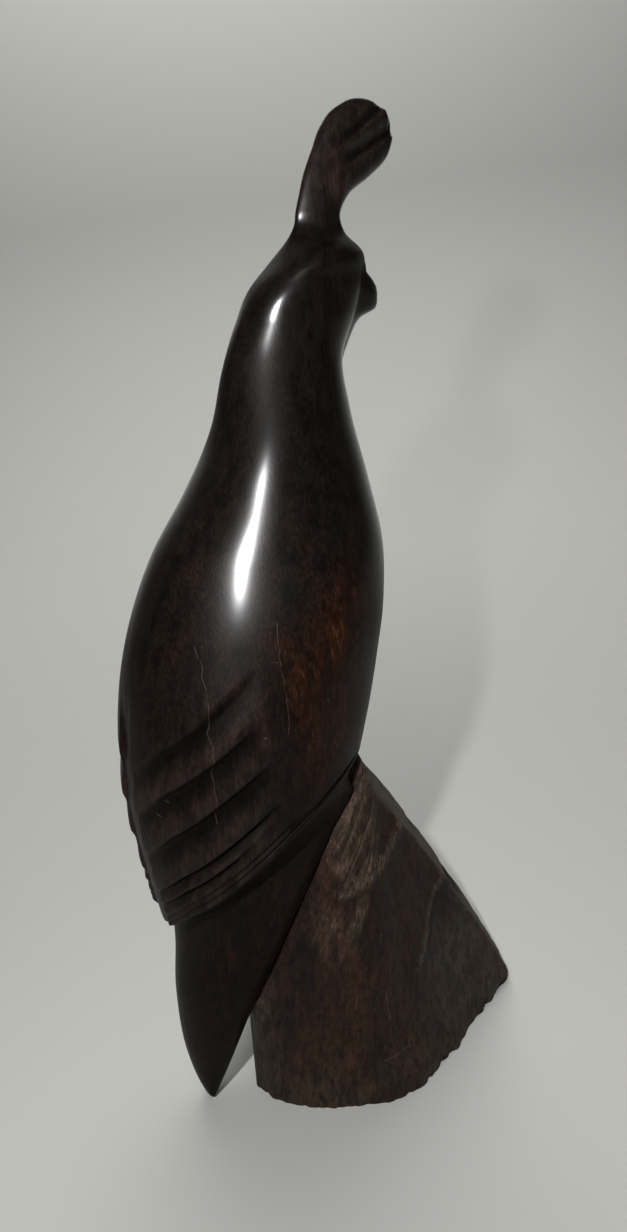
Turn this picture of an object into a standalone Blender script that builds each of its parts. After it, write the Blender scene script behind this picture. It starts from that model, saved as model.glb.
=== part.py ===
"""A carved wooden quail and the rough block it grows out of, one solid of dark hardwood.

The bird faces +X, its left side is +Y, and Z is up. The origin is on the block's flat
underside near its middle, in the bird's middle plane. The tables hold the carving in
millimetres, drawn at DRAWN_HEIGHT; SCALE turns them into metres at CARVING_HEIGHT.
"""
import bpy
import bmesh
import numpy as np

# Driving dimensions, metres
CARVING_HEIGHT = 0.3125
BLOCK_LENGTH = 0.1126
BLOCK_WIDTH = 0.0825
KERF_WIDTH = 0.0008
KERF_DEPTH = 0.0045
RIB_DEPTH = 0.0020
WING_EDGE_INCISION = 0.0007
CREST_GROOVE_DEPTH = 0.0015
BEAK_WIDTH = 0.0095
SPINE_GROOVE_DEPTH = 0.0016

# The drawing's own size, millimetres
DRAWN_HEIGHT = 312.9
SCALE = CARVING_HEIGHT / DRAWN_HEIGHT

# Mesh fineness
COLUMNS = 48
COLUMN_CROWDING = 0.42
TAIL_ROWS = 13
PLACES_TRIED = 400

# Rows on each rib: the share of its lip where a row runs, and the rise that gets no extra rows
LIP_ROW = 0.8
NARROW_RISE = 5.0

# Rows from the wings up to the crest: row number, and share of the way there
UPPER_ROWS = np.array([
    [0, 0.00],
    [9, 0.46],
    [11, 0.52],
    [24, 0.72],
    [40, 1.00],
])

# Cross-sections of body, head and crest, bottom to top, millimetres:
# back x and z, front x and z, half width, fullness towards the back
BODY = np.array([
    [-74.3, 57.5, -19.0, 91.5, 27.0, 0.00],
    [-75.5, 77.0, -9.0, 105.5, 31.0, 0.00],
    [-77.1, 100.0, -1.0, 119.5, 34.0, 0.00],
    [-77.7, 122.0, 5.5, 135.5, 36.0, 0.02],
    [-73.5, 148.0, 12.0, 152.5, 38.0, 0.15],
    [-66.0, 173.5, 15.6, 172.0, 35.7, -0.02],
    [-54.5, 195.5, 17.8, 190.0, 30.0, -0.06],
    [-40.8, 212.0, 16.3, 208.0, 24.5, 0.04],
    [-29.6, 228.6, 13.8, 229.2, 18.4, 0.17],
    [-24.4, 244.0, 13.4, 244.2, 13.8, 0.00],
    [-18.3, 256.4, 20.6, 257.2, 12.3, 0.07],
    [-11.5, 266.1, 24.4, 266.1, 12.2, 0.25],
    [-3.1, 273.0, 24.3, 271.8, 12.4, 0.22],
    [3.6, 281.0, 19.4, 277.9, 4.0, -0.35],
    [4.8, 285.0, 18.4, 282.4, 3.6, -0.45],
    [6.4, 289.0, 21.7, 287.5, 3.6, -0.35],
    [8.9, 294.9, 29.6, 292.0, 3.8, -0.20],
    [12.0, 300.2, 35.5, 296.0, 4.0, -0.05],
    [16.0, 306.6, 38.2, 300.0, 4.2, 0.10],
    [21.4, 311.1, 39.2, 303.6, 4.0, 0.20],
    [28.0, 312.8, 38.4, 306.4, 3.4, 0.15],
    [33.2, 311.6, 37.0, 308.6, 2.5, 0.00],
])

# Cross-sections of the tail, tip to root, in the same columns
TAIL = np.array([
    [-72.5, 2.6, -69.0, 1.6, 4.0, 0.0],
    [-74.2, 10.0, -60.0, 14.0, 7.0, -0.1],
    [-75.8, 25.0, -50.0, 33.0, 12.0, -0.1],
    [-74.8, 45.0, -36.0, 58.0, 18.0, -0.1],
    [-71.5, 64.0, -12.0, 90.0, 22.0, -0.05],
    [-70.0, 80.0, 12.0, 126.0, 26.5, 0.0],
])

# Where the tail's flat underside meets the block, seen from the side: x and z, millimetres
SEAM = np.array([
    [-71.0, 0.0],
    [-56.5, 35.0],
    [-35.0, 75.0],
    [-20.5, 102.0],
    [-11.0, 114.0],
    [-12.0, 128.0],
])

# The wing's lower edge, a curve seen from the side that drops to a tip at the back, millimetres
EDGE_TOP_Z = 124.8
EDGE_DROP = 41.2
EDGE_FRONT_X = -5.0
EDGE_BACK_X = -74.5
EDGE_POWER = 1.6
TIP_DROP = 6.0
TIP_HALF_WIDTH = 20.0
TIP_FROM_SHARE = 0.6
TIP_TO_SHARE = 0.9

# The cove under the wing's edge: heights of its two rims, and how far out each of its rows stands
COVE_RIMS = np.array([-2.2, -0.9])
COVE_FLOOR = 0.35
COVE_LIP = 0.85

# Wing ribs: height of each groove above the wing's edge, the x where it fades out, how high its
# rounded lip stands over it, and over how much height the rib below sinks into it
GROOVES = np.array([
    [4.0, -28.0, 1.2, 2.6],
    [9.0, -46.0, 1.4, 3.4],
    [14.2, -36.0, 1.9, 3.6],
    [28.8, -36.0, 3.2, 11.0],
    [43.2, -38.0, 3.4, 10.5],
    [55.8, -40.0, 3.4, 8.8],
])
RIB_FADE = 14.0
RIB_BACK_LEFT = 0.45
RIB_BACK_REACH = 14.0
WING_ZONE = 64.0
RIB_STOP = 2.5

# Hollow down the back between the folded wings, millimetres
SPINE_HALF_WIDTH = 4.0
SPINE_WIDENING = 0.055
SPINE_BANK = 0.3
SPINE_TOP_Z = 160.0
SPINE_FULL_Z = 138.0

# The beak's profile in the middle plane: z and x, millimetres
BEAK = np.array([
    [243.5, 13.2],
    [246.3, 15.5],
    [249.9, 17.8],
    [252.7, 19.9],
    [254.2, 22.4],
    [254.9, 25.2],
    [255.5, 27.4],
    [257.1, 28.4],
    [259.9, 28.8],
    [262.0, 28.5],
    [263.4, 27.7],
    [264.8, 26.6],
    [266.5, 24.6],
    [269.0, 24.0],
])

# Crest grooves seen from the side: start x and z at the rim, end x and z at the stem
CREST_GROOVES = np.array([
    [34.0, 309.4, 14.5, 298.2],
    [38.5, 303.9, 15.0, 293.8],
])
CREST_LIP = 1.8
CREST_SLOPE = 5.0
CREST_FADE = 10.0
CREST_LEFT = 0.55

# The block: its ridge sits inside the belly, and its flanks bulge less as they rise
RIDGE_Z = 128.0
RIDGE_FRONT_X = -9.5
RIDGE_HALF_WIDTH = 19.0
HEEL_X = -0.0555
HEEL_LEAN = 0.07
HEEL_HALF_WIDTH = 0.0065
TOE_HALF_WIDTH = 0.0100
FRONT_BOW = 0.82
FOOT_TUCK = 1.12
HEEL_TUCK = 0.8
HEEL_SKEW = 0.36
HEEL_SKEW_FROM_Z = 26.0
HEEL_SKEW_TO_Z = 38.0
FRONT_TURN = 0.36
FRONT_TURN_TO_Z = 108.0
FLANK_BOW = 1.15
FLANK_FLAT = 0.50
FLANK_FLAT_FROM = 1.23
FLANK_FLAT_TO = 2.32
BLOCK_ROUGHNESS = 0.0008
FLANK_COLUMNS = 19
END_COLUMNS = 4
BLOCK_ROWS = 18

# The whole wood behind the kerf: how far it runs up, and how far into tail and block, millimetres
CORE_FROM_Z = 43.0
CORE_TO_Z = 125.5
CORE_REACH = 3.6
CORE_ROWS = 10


def along(places, table):
    """Cubic curve through a table's rows, read at distances measured along its middle points."""
    middle = (table[:, 0:2] + table[:, 2:4]) / 2
    steps = np.hypot(*np.diff(middle, axis=0).T)
    knots = np.concatenate([[0.0], np.cumsum(steps)])
    slopes = np.gradient(table, knots, axis=0, edge_order=2)
    i = np.clip(np.searchsorted(knots, places, side="right") - 1, 0, len(knots) - 2)
    gap = (knots[i + 1] - knots[i])[..., None]
    t = (places - knots[i])[..., None] / gap
    start = (2 * t**3 - 3 * t**2 + 1) * table[i] + (t**3 - 2 * t**2 + t) * gap * slopes[i]
    end = (3 * t**2 - 2 * t**3) * table[i + 1] + (t**3 - t**2) * gap * slopes[i + 1]
    return start + end


def length_of(table):
    """Distance along the middle of a table's cross-sections."""
    middle = (table[:, 0:2] + table[:, 2:4]) / 2
    return np.hypot(*np.diff(middle, axis=0).T).sum()


def smooth(value, low, high):
    """0 below low, 1 above high, with a smooth ramp between."""
    t = np.clip((value - low) / (high - low), 0.0, 1.0)
    return t * t * (3 - 2 * t)


def oval(table, places, angles):
    """A point on the loft: angle 0 is the back, pi the front, and the left side is +Y."""
    section = along(places, table)
    back = section[..., 0:2]
    front = section[..., 2:4]
    centre = (back + front) / 2
    reach = (front - back) / 2
    across = -np.cos(angles)
    x = centre[..., 0] + across * reach[..., 0]
    z = centre[..., 1] + across * reach[..., 1]
    y = section[..., 4] * np.sin(angles) * (1 - section[..., 5] * across)
    return np.stack([x, y, z], axis=-1)


def seam_x(z):
    """x of the tail's underside at a height."""
    return np.interp(z, SEAM[:, 1], SEAM[:, 0])


def tail_point(places, angles):
    """A point on the tail, cut flat where it lies against the block."""
    point = oval(TAIL, places, angles)
    point[..., 0] = np.minimum(point[..., 0], seam_x(point[..., 2]))
    return point


def above_edge(point):
    """Height of a point above the wing's lower edge."""
    share = np.clip((point[..., 0] - EDGE_FRONT_X) / (EDGE_BACK_X - EDGE_FRONT_X), 0.0, 1.2)
    edge = EDGE_TOP_Z - EDGE_DROP * share**EDGE_POWER
    tip = TIP_DROP * np.clip(1 - np.abs(point[..., 1]) / TIP_HALF_WIDTH, 0.0, 1.0)
    return point[..., 2] - edge + tip * smooth(share, TIP_FROM_SHARE, TIP_TO_SHARE)


def places_at(surface, total, angles, levels):
    """For each column, the distances along a loft where it passes the given heights above the edge."""
    tries = np.linspace(0.0, total, PLACES_TRIED)
    grid_places, grid_angles = np.meshgrid(tries, angles, indexing="ij")
    heights = above_edge(surface(grid_places, grid_angles))
    heights = np.maximum.accumulate(heights, axis=0)
    found = [np.interp(levels, heights[:, j], tries) for j in range(len(angles))]
    return np.array(found).T


def body_outward(places, angles):
    """Unit vectors pointing out of the body, from small steps over its surface."""
    step = 0.05
    turn = 0.002
    along_step = oval(BODY, places + step, angles) - oval(BODY, places - step, angles)
    round_step = oval(BODY, places, angles + turn) - oval(BODY, places, angles - turn)
    out = np.cross(along_step, round_step)
    return out / np.maximum(np.linalg.norm(out, axis=-1, keepdims=True), 1e-9)


def spine_half_width(z):
    """Half the width of the hollow between the wings, which widens downwards."""
    return SPINE_HALF_WIDTH + SPINE_WIDENING * np.clip(SPINE_TOP_Z - z, 0.0, 80.0)


def rib_depth(point):
    """How deep the wing's overlapping ribs lie below the smooth body."""
    height = above_edge(point)
    depth = np.zeros(height.shape)
    for level, fade_x, lip_height, rise in GROOVES:
        below = smooth(height, level - rise, level)
        lip = 1 - smooth(height, level, level + lip_height)
        shape = np.where(height <= level, below, lip)
        fade = 1 - smooth(point[..., 0], fade_x - RIB_FADE, fade_x)
        deep = WING_EDGE_INCISION if level == GROOVES[0, 0] else RIB_DEPTH
        depth = np.maximum(depth, deep * shape * fade / SCALE)
    aside = np.abs(point[..., 1]) - spine_half_width(point[..., 2])
    back = RIB_BACK_LEFT + (1 - RIB_BACK_LEFT) * smooth(aside, 0.0, RIB_BACK_REACH)
    return depth * back * smooth(aside, 0.5 - RIB_STOP, 0.5)


def spine_depth(point):
    """How deep the hollow between the wings is."""
    across = smooth(1 - np.abs(point[..., 1]) / spine_half_width(point[..., 2]), 0.0, SPINE_BANK)
    rise = 1 - smooth(point[..., 2], SPINE_FULL_Z, SPINE_TOP_Z)
    behind = point[..., 0] < EDGE_FRONT_X
    return SPINE_GROOVE_DEPTH / SCALE * across * rise * behind


def crest_depth(point):
    """How deep the crest's stepped grooves are, from their distance seen from the side."""
    depth = np.zeros(point.shape[:-1])
    for start_x, start_z, end_x, end_z in CREST_GROOVES:
        run = np.array([end_x - start_x, end_z - start_z])
        length = np.hypot(*run)
        run = run / length
        dx = point[..., 0] - start_x
        dz = point[..., 2] - start_z
        travel = dx * run[0] + dz * run[1]
        above = dx * run[1] - dz * run[0]
        slope = 1 - smooth(above, 0.0, CREST_SLOPE)
        lip = 1 - smooth(-above, 0.0, CREST_LIP)
        shape = np.where(above >= 0, slope, lip)
        fade = 1 - smooth(travel, length - CREST_FADE, length + 1.0)
        depth = np.maximum(depth, CREST_GROOVE_DEPTH / SCALE * shape * fade)
    return depth


def beak_push(point):
    """How far the face is pushed forward into the beak."""
    target = np.interp(point[..., 2], BEAK[:, 0], BEAK[:, 1])
    half = BEAK_WIDTH / SCALE / 2
    bell = np.clip(1 - (point[..., 1] / half) ** 2, 0.0, 1.0) ** 0.8
    in_range = (point[..., 2] > BEAK[0, 0]) & (point[..., 2] < BEAK[-1, 0])
    in_front = point[..., 0] > EDGE_FRONT_X
    push = np.maximum(target - point[..., 0], 0.0) * bell
    return np.where(in_range & in_front, push, 0.0)


def body_point(places, angles):
    """A point on the carved body: smooth form, then ribs, hollow, crest grooves and beak."""
    smooth_point = oval(BODY, places, angles)
    out = body_outward(places, angles)
    depth = rib_depth(smooth_point) + spine_depth(smooth_point)
    carved = smooth_point - out * depth[..., None]
    thin = crest_depth(smooth_point)
    side = np.sign(smooth_point[..., 1])
    room = np.abs(smooth_point[..., 1])
    carved[..., 1] -= side * np.minimum(thin, (1 - CREST_LEFT) * room)
    carved[..., 0] += beak_push(carved)
    return carved


def column_angles(count):
    """Angles round the bird, closer together at the back and the front."""
    t = np.linspace(0.0, 2 * np.pi, count, endpoint=False)
    return t - COLUMN_CROWDING * np.sin(2 * t) / 2


def bird_rows():
    """Rings of points from the tail's tip to the crest's end."""
    angles = column_angles(COLUMNS)
    tail_top = places_at(tail_point, length_of(TAIL), angles, COVE_RIMS)
    tail_shares = np.linspace(0.0, 1.0, TAIL_ROWS)[:, None]
    tail = tail_point(tail_top[0] * tail_shares, np.broadcast_to(angles, (TAIL_ROWS, COLUMNS)))

    wing_levels = [0.0, 1.0, 2.8, WING_ZONE]
    for level, _, lip_height, rise in GROOVES:
        wing_levels += [level, level + lip_height * LIP_ROW]
        if rise > NARROW_RISE:
            wing_levels += [level - rise * 0.4, level - rise * 0.85]
    wing_levels = np.array(sorted(wing_levels))
    wing_places = places_at(lambda p, a: oval(BODY, p, a), length_of(BODY), angles, wing_levels)
    wing = body_point(wing_places, np.broadcast_to(angles, wing_places.shape))

    rim_outer = wing[0]
    rim_inner = tail_point(tail_top[1], angles)
    cove = rim_inner + (rim_outer - rim_inner) * COVE_FLOOR
    lip = rim_inner + (rim_outer - rim_inner) * COVE_LIP

    total = length_of(BODY)
    start = wing_places[-1]
    shares = np.interp(np.arange(UPPER_ROWS[-1, 0]) + 1, UPPER_ROWS[:, 0], UPPER_ROWS[:, 1])[:, None]
    upper_places = start + (total - start) * shares
    upper = body_point(upper_places, np.broadcast_to(angles, upper_places.shape))
    return np.concatenate([tail, cove[None], lip[None], wing[1:], upper])


def wobble(x, y, z):
    """Smooth unevenness between -1 and 1, from a few waves of unlike length."""
    first = np.sin(0.21 * x + 0.13 * y + 0.05 * z + 0.7) * np.sin(0.11 * y - 0.08 * z + 1.9)
    second = np.sin(0.47 * x - 0.39 * y + 0.9) * 0.5
    third = np.sin(0.83 * y + 0.61 * x + 0.12 * z + 2.3) * 0.4
    return (first + second + third) / 1.9


def corner_half_width(z):
    """Half the width of the tail where its side turns into the flat underside, at a height."""
    places = np.linspace(0.0, length_of(TAIL), PLACES_TRIED)
    angles = np.linspace(0.0, np.pi, PLACES_TRIED)
    grid = tail_point(*np.meshgrid(places, angles, indexing="ij")).reshape(-1, 3)
    flat = grid[grid[:, 0] > seam_x(grid[:, 2]) - 0.01]
    spacing = 4.0
    levels = np.arange(spacing, SEAM[4, 1], spacing)
    widths = [flat[np.abs(flat[:, 2] - level) < spacing / 2, 1].max() for level in levels]
    return np.interp(z, levels, widths)


def joint_half_width(z):
    """Half the width of the block's rear face along the tail, narrowing into the belly."""
    corner = corner_half_width(z)
    return corner + (RIDGE_HALF_WIDTH - corner) * smooth(z, SEAM[3, 1], RIDGE_Z)


def block_rows():
    """Rings of points of the rough block, from its underside to the ridge under the belly."""
    shares = np.linspace(0.0, 1.0, BLOCK_ROWS)[:, None]
    z = shares * RIDGE_Z * SCALE
    drawn_z = shares * RIDGE_Z
    taper = 1 - shares
    ridge_x = RIDGE_FRONT_X * SCALE
    front = ridge_x + (HEEL_X + BLOCK_LENGTH - ridge_x) * taper**FRONT_BOW
    rear = np.maximum(seam_x(drawn_z) * SCALE + KERF_WIDTH, HEEL_X + HEEL_LEAN * z)
    joint_z = SEAM[1, 1]
    heel = HEEL_HALF_WIDTH + (corner_half_width(joint_z) * SCALE - HEEL_HALF_WIDTH) * drawn_z / joint_z
    rear_half = np.where(drawn_z < joint_z, heel, joint_half_width(drawn_z) * SCALE)
    front_half = TOE_HALF_WIDTH + (RIDGE_HALF_WIDTH * SCALE - TOE_HALF_WIDTH) * shares

    t = np.linspace(0.0, np.pi, FLANK_COLUMNS)[None, :]
    flat = 1 - FLANK_FLAT * smooth(t, FLANK_FLAT_FROM, FLANK_FLAT_TO)
    widest = (np.sin(t) * flat).max()
    bulge = (BLOCK_WIDTH / 2 - (HEEL_HALF_WIDTH + TOE_HALF_WIDTH) / 2) / widest * taper**FLANK_BOW
    flank_x = rear + (front - rear) * (1 - np.cos(t)) / 2
    flank_y = rear_half * (1 + np.cos(t)) / 2 + front_half * (1 - np.cos(t)) / 2
    tuck = FOOT_TUCK + HEEL_TUCK * smooth(drawn_z, 0.0, joint_z)
    flank_y = flank_y + bulge * np.sin(t) ** tuck * flat
    across = np.linspace(1.0, -1.0, END_COLUMNS + 2)[None, 1:-1]
    toe_x = np.broadcast_to(front, (BLOCK_ROWS, END_COLUMNS))
    heel_x = np.broadcast_to(rear, (BLOCK_ROWS, END_COLUMNS))
    x = np.concatenate([flank_x, toe_x, flank_x[:, ::-1], heel_x], axis=1)
    y = np.concatenate([flank_y, front_half * across, -flank_y[:, ::-1], -rear_half * across], axis=1)
    z = np.broadcast_to(z, x.shape)
    rough = BLOCK_ROUGHNESS * wobble(x / SCALE, y / SCALE, z / SCALE)
    middle = (front + rear) / 2
    reach = np.hypot(x - middle, y)
    x = x + rough * (x - middle) / reach
    y = y + rough * y / reach
    skew = HEEL_SKEW * (1 - smooth(drawn_z, HEEL_SKEW_FROM_Z, HEEL_SKEW_TO_Z))
    x = np.maximum(x, rear + skew * (y + rear_half))
    turn = FRONT_TURN * (1 - smooth(drawn_z, FRONT_TURN_TO_Z, RIDGE_Z))
    x = np.minimum(x, front + turn * y)
    return np.stack([x, y, z], axis=-1)


def core_rows():
    """Rings of the wood that still joins tail and block behind the saw kerf."""
    heights = np.linspace(CORE_FROM_Z, CORE_TO_Z, CORE_ROWS)[:, None]
    half = joint_half_width(heights) - KERF_DEPTH / SCALE
    x = seam_x(heights) + CORE_REACH * np.array([[1, -1, -1, 1]])
    y = half * np.array([[1, 1, -1, -1]])
    return np.stack([x, y, np.broadcast_to(heights, x.shape)], axis=-1) * SCALE


def closed_mesh(name, rows):
    """A closed skin over rings of points, each end shut with a fan of triangles."""
    count, around = rows.shape[:2]
    points = rows.reshape(-1, 3)
    low = points[:around].mean(axis=0)
    high = points[-around:].mean(axis=0)
    vertices = np.concatenate([points, [low], [high]])
    faces = []
    for row in range(count - 1):
        for column in range(around):
            after = (column + 1) % around
            a = row * around + column
            b = row * around + after
            faces.append((a, b, b + around, a + around))
    for column in range(around):
        after = (column + 1) % around
        faces.append((count * around, after, column))
        last = (count - 1) * around
        faces.append((count * around + 1, last + column, last + after))
    mesh = bpy.data.meshes.new(name)
    mesh.from_pydata(vertices.tolist(), [], faces)
    shape = bmesh.new()
    shape.from_mesh(mesh)
    bmesh.ops.recalc_face_normals(shape, faces=shape.faces)
    bmesh.ops.triangulate(shape, faces=shape.faces)
    shape.to_mesh(mesh)
    shape.free()
    return mesh


def wood_material():
    """Near-black brown hardwood, polished."""
    material = bpy.data.materials.new("dark_ironwood")
    material.use_nodes = True
    shader = material.node_tree.nodes["Principled BSDF"]
    shader.inputs["Base Color"].default_value = (0.020, 0.011, 0.007, 1.0)
    shader.inputs["Roughness"].default_value = 0.32
    shader.inputs["Metallic"].default_value = 0.0
    return material


def add_object(name, rows):
    """A new object from rings of points."""
    shape = bpy.data.objects.new(name, closed_mesh(name, rows))
    bpy.context.scene.collection.objects.link(shape)
    return shape


def join_on(shape, other):
    """Grow one shape into another with a Boolean union, and keep the other as a guide."""
    union = shape.modifiers.new("grow " + other.name, "BOOLEAN")
    union.operation = "UNION"
    union.solver = "EXACT"
    union.object = other
    other.hide_render = True
    other.display_type = "WIRE"


def main():
    for shape in list(bpy.data.objects):
        bpy.data.objects.remove(shape, do_unlink=True)
    carving = add_object("quail_carving", bird_rows() * SCALE)
    carving.data.materials.append(wood_material())
    block = add_object("block_form", block_rows())
    core = add_object("core_form", core_rows())
    join_on(block, core)
    join_on(carving, block)
    carving.data.shade_smooth()
    carving.data.set_sharp_from_angle(angle=np.radians(40))


main()
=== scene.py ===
"""The looks of the wooden quail carving: its finely carved surface, its two wood finishes, and a
plain pale stage with soft light.

The bird faces +X, its left side is +Y, and Z is up. The drawing's tables are in millimetres, and
SCALE turns them into metres from the height that the frame gives.
"""

import bmesh
import bpy
import numpy as np
from bpy.props import FloatProperty, FloatVectorProperty, IntProperty, PointerProperty
from mathutils import Matrix, Vector


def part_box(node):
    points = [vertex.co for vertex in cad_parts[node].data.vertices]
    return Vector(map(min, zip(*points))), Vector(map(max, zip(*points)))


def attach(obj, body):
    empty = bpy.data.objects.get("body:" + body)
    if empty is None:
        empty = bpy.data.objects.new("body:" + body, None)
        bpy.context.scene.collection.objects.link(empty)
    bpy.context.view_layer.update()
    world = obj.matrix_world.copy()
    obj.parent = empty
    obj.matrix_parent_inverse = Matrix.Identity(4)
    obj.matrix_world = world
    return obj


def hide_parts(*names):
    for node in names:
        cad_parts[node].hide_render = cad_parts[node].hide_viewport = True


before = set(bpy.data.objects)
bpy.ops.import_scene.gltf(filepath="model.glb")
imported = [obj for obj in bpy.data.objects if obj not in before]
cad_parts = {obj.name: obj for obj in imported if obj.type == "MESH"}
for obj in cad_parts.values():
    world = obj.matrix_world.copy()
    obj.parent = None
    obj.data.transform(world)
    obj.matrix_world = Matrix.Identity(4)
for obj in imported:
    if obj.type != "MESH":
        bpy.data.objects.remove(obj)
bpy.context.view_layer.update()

NODE = "quail_carving"
LOW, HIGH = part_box(NODE)

# The drawing's own height, millimetres, and the real height from the frame, metres
DRAWN_TOP = 312.65
SCALE = (HIGH[2] - LOW[2]) / DRAWN_TOP

bl_info = {
    "name": "Wooden Quail Carving",
    "version": (1, 0, 0),
    "blender": (4, 5, 0),
    "location": "3D View > Sidebar > Quail",
    "description": "Builds a polished hardwood quail on its rough block, and a stage for it",
    "category": "Add Mesh",
}

# Cross-sections of body, head and crest, bottom to top, millimetres:
# back x and z, front x and z, half width, fullness towards the back
BODY = np.array([
    [-74.3, 57.5, -19.0, 91.5, 27.0, 0.00],
    [-75.5, 77.0, -9.0, 105.5, 31.0, 0.00],
    [-77.1, 100.0, -1.0, 119.5, 34.0, 0.00],
    [-77.7, 122.0, 5.5, 135.5, 36.0, 0.02],
    [-73.5, 148.0, 12.0, 152.5, 38.0, 0.15],
    [-66.0, 173.5, 15.6, 172.0, 35.7, -0.02],
    [-54.5, 195.5, 17.8, 190.0, 30.0, -0.06],
    [-40.8, 212.0, 16.3, 208.0, 24.5, 0.04],
    [-29.6, 228.6, 13.8, 229.2, 18.4, 0.17],
    [-24.4, 244.0, 13.4, 244.2, 13.8, 0.00],
    [-18.3, 256.4, 20.6, 257.2, 12.3, 0.07],
    [-11.5, 266.1, 24.4, 266.1, 12.2, 0.25],
    [-3.1, 273.0, 24.3, 271.8, 12.4, 0.22],
    [3.6, 281.0, 19.4, 277.9, 4.0, -0.35],
    [4.8, 285.0, 18.4, 282.4, 3.6, -0.45],
    [6.4, 289.0, 21.7, 287.5, 3.6, -0.35],
    [8.9, 294.9, 29.6, 292.0, 3.8, -0.20],
    [12.0, 300.2, 35.5, 296.0, 4.0, -0.05],
    [16.0, 306.6, 38.2, 300.0, 4.2, 0.10],
    [21.4, 311.1, 39.2, 303.6, 4.0, 0.20],
    [28.0, 312.8, 38.4, 306.4, 3.4, 0.15],
    [33.2, 311.6, 37.0, 308.6, 2.5, 0.00],
])

# Cross-sections of the tail, tip to root, in the same columns
TAIL = np.array([
    [-72.5, 2.6, -69.0, 1.6, 4.0, 0.0],
    [-74.2, 10.0, -60.0, 14.0, 7.0, -0.1],
    [-75.8, 25.0, -50.0, 33.0, 12.0, -0.1],
    [-74.8, 45.0, -36.0, 58.0, 18.0, -0.1],
    [-71.5, 64.0, -12.0, 90.0, 22.0, -0.05],
    [-70.0, 80.0, 12.0, 126.0, 26.5, 0.0],
])

# Where the tail's flat underside meets the block, seen from the side: x and z, millimetres
SEAM = np.array([
    [-71.0, 0.0],
    [-56.5, 35.0],
    [-35.0, 75.0],
    [-20.5, 102.0],
    [-11.0, 114.0],
    [-12.0, 128.0],
])

# The wing's lower edge, a curve seen from the side that drops to a tip at the back, millimetres
EDGE_TOP_Z = 124.8
EDGE_DROP = 41.2
EDGE_FRONT_X = -5.0
EDGE_BACK_X = -74.5
EDGE_POWER = 1.6
TIP_DROP = 6.0
TIP_HALF_WIDTH = 20.0
TIP_FROM_SHARE = 0.6
TIP_TO_SHARE = 0.9

# The cove under the wing's edge: heights of its two rims, and how far out each of its rows stands
COVE_RIMS = np.array([-2.2, -0.9])
COVE_ROWS = np.array([0.12, 0.35, 0.62, 0.85, 0.95])

# Wing ribs: height of each groove above the wing's edge, the x where it fades out, how high its
# rounded lip stands over it, and over how much height the rib below sinks into it
GROOVES = np.array([
    [2.0, -1.0, 0.7, 1.1],
    [4.4, -28.0, 1.0, 1.6],
    [9.0, -46.0, 1.4, 3.4],
    [14.2, -36.0, 1.9, 3.6],
    [28.8, -36.0, 3.2, 11.0],
    [43.2, -38.0, 3.4, 10.5],
    [55.8, -40.0, 3.4, 8.8],
])
RIB_FADE = 14.0
EDGE_LINES_BELOW = 5.0
RIB_BACK_LEFT = 0.45
RIB_BACK_REACH = 14.0
RIB_STOP = 2.5
WING_ZONE = 64.0

# Hollow down the back between the folded wings, millimetres
SPINE_HALF_WIDTH = 4.0
SPINE_WIDENING = 0.055
SPINE_BANK = 0.3
SPINE_TOP_Z = 160.0
SPINE_FULL_Z = 138.0

# The beak's profile in the middle plane: z and x, millimetres
BEAK = np.array([
    [243.5, 13.2],
    [246.3, 15.5],
    [249.9, 17.8],
    [252.7, 19.9],
    [254.2, 22.4],
    [254.9, 25.2],
    [255.5, 27.4],
    [257.1, 28.4],
    [259.9, 28.8],
    [262.0, 28.5],
    [263.4, 27.7],
    [264.8, 26.6],
    [266.5, 24.6],
    [269.0, 24.0],
])

# Crest grooves seen from the side: start x and z at the rim, end x and z at the stem
CREST_GROOVES = np.array([
    [34.0, 309.4, 14.5, 298.2],
    [38.5, 303.9, 15.0, 293.8],
])
CREST_LIP = 1.8
CREST_SLOPE = 5.0
CREST_FADE = 10.0
CREST_LEFT = 0.55

# Small notches in the crest's rim where its grooves start: how deep and how wide, millimetres
NOTCH_DEPTH = 0.9
NOTCH_REACH = 2.6

# The block: its ridge sits inside the belly, and its flanks bulge less as they rise
RIDGE_Z = 128.0
RIDGE_FRONT_X = -9.5
RIDGE_HALF_WIDTH = 19.0
HEEL_X = -0.0555
HEEL_LEAN = 0.07
HEEL_HALF_WIDTH = 0.0065
TOE_HALF_WIDTH = 0.0100
FRONT_BOW = 0.82
FRONT_TURN = 0.36
FRONT_TURN_TO_Z = 108.0
FOOT_TUCK = 1.12
HEEL_TUCK = 0.8
HEEL_SKEW = 0.36
HEEL_SKEW_FROM_Z = 26.0
HEEL_SKEW_TO_Z = 38.0
FLANK_BOW = 1.15
FLANK_FLAT = 0.50
FLANK_FLAT_FROM = 1.23
FLANK_FLAT_TO = 2.32

# Marks of the tools on the flanks: side, start x and z, end x and z, height of the crest, and how
# far it falls away above the line and below it, millimetres
TOOL_MARKS = np.array([
    [-1.0, 9.0, 93.0, -22.0, 80.2, 1.15, 1.3, 10.0],
    [-1.0, 26.0, 63.0, 14.5, 55.0, 1.10, 9.0, 1.4],
    [-1.0, 14.5, 55.0, 3.5, 39.0, 1.10, 9.0, 1.4],
    [-1.0, -11.0, 76.0, -20.5, 62.0, 0.45, 3.0, 1.2],
    [1.0, 6.0, 84.0, -19.0, 66.0, 0.80, 1.8, 11.0],
    [1.0, 21.0, 52.0, 4.0, 35.0, 0.80, 8.0, 2.0],
])
MARK_FADE = 5.0

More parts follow.
